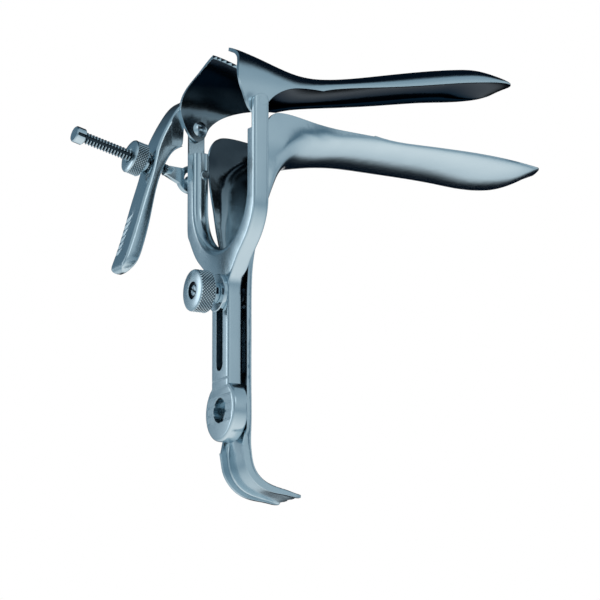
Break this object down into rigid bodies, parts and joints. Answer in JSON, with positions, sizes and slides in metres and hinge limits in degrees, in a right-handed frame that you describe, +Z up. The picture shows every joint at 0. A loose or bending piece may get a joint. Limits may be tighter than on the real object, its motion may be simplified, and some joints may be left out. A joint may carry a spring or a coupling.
{
  "type": "bivalve speculum",
  "caption": "Two-bladed vaginal speculum with a sliding yoke, hinged upper blade, thumb lever, adjusting screw and clamp knob.",
  "frame": {"origin": "middle of the blade hinge axis, in the mouth of the working channel between the two hinge rivets", "axes": "+Y forward along the blades, +Z up from the handle to the blades, +X away from the thumb lever along the hinge axis"},
  "size_m": [0.057, 0.1623, 0.1545],
  "materials": {
    "satin_steel": "satin polished sheet",
    "forged_steel": "satin forged and ground",
    "turned_steel": "bright turned",
    "knurled_steel": "turned with a knurled rim"
  },
  "bodies": {
    "handle": {"lower_valve": "satin_steel", "clamp_stud": "turned_steel"},
    "clamp_washer": {"clamp_washer": "turned_steel"},
    "clamp_knob": {"clamp_knob": "knurled_steel"},
    "yoke": {"yoke": "forged_steel", "hinge_rivet_left": "turned_steel", "hinge_rivet_right": "turned_steel", "screw_pivot_pin": "turned_steel"},
    "upper_valve": {"upper_valve": "satin_steel", "thumb_lever": "forged_steel"},
    "adjusting_screw": {"adjusting_screw": "turned_steel", "screw_end_cap": "turned_steel"},
    "thumb_nut": {"thumb_nut": "knurled_steel"}
  },
  "joints": [
    {"name": "yoke_slide", "type": "slide", "parent": "handle", "child": "yoke", "axis": [0, 0, 1], "range_m": [0, 0.024]},
    {"name": "blade_hinge", "type": "hinge", "parent": "yoke", "child": "upper_valve", "pos_m": [0, 0, 0], "axis": [1, 0, 0], "range_deg": [-14, 18]},
    {"name": "screw_swing", "type": "hinge", "parent": "yoke", "child": "adjusting_screw", "pos_m": [-0.027, 0.0003, -0.0165], "axis": [1, 0, 0], "range_deg": [-12, 15]},
    {"name": "nut_travel", "type": "slide", "parent": "adjusting_screw", "child": "thumb_nut", "axis": [0, -0.9699, 0.2436], "range_m": [-0.0056, 0.0044]},
    {"name": "washer_travel", "type": "slide", "parent": "handle", "child": "clamp_washer", "axis": [0, -1, 0], "range_m": [0, 0.0012]},
    {"name": "knob_spin", "type": "hinge", "parent": "clamp_washer", "child": "clamp_knob", "pos_m": [0, -0.01, -0.0608], "axis": [0, 1, 0], "range_deg": [0, 540]}
  ],
  "couplings": [
    {"joint": "screw_swing", "follows": "blade_hinge", "ratio": 0.78},
    {"joint": "nut_travel", "follows": "blade_hinge", "m_per_rad": -0.0159},
    {"joint": "washer_travel", "follows": "knob_spin", "m_per_rad": 0.000111}
  ]
}
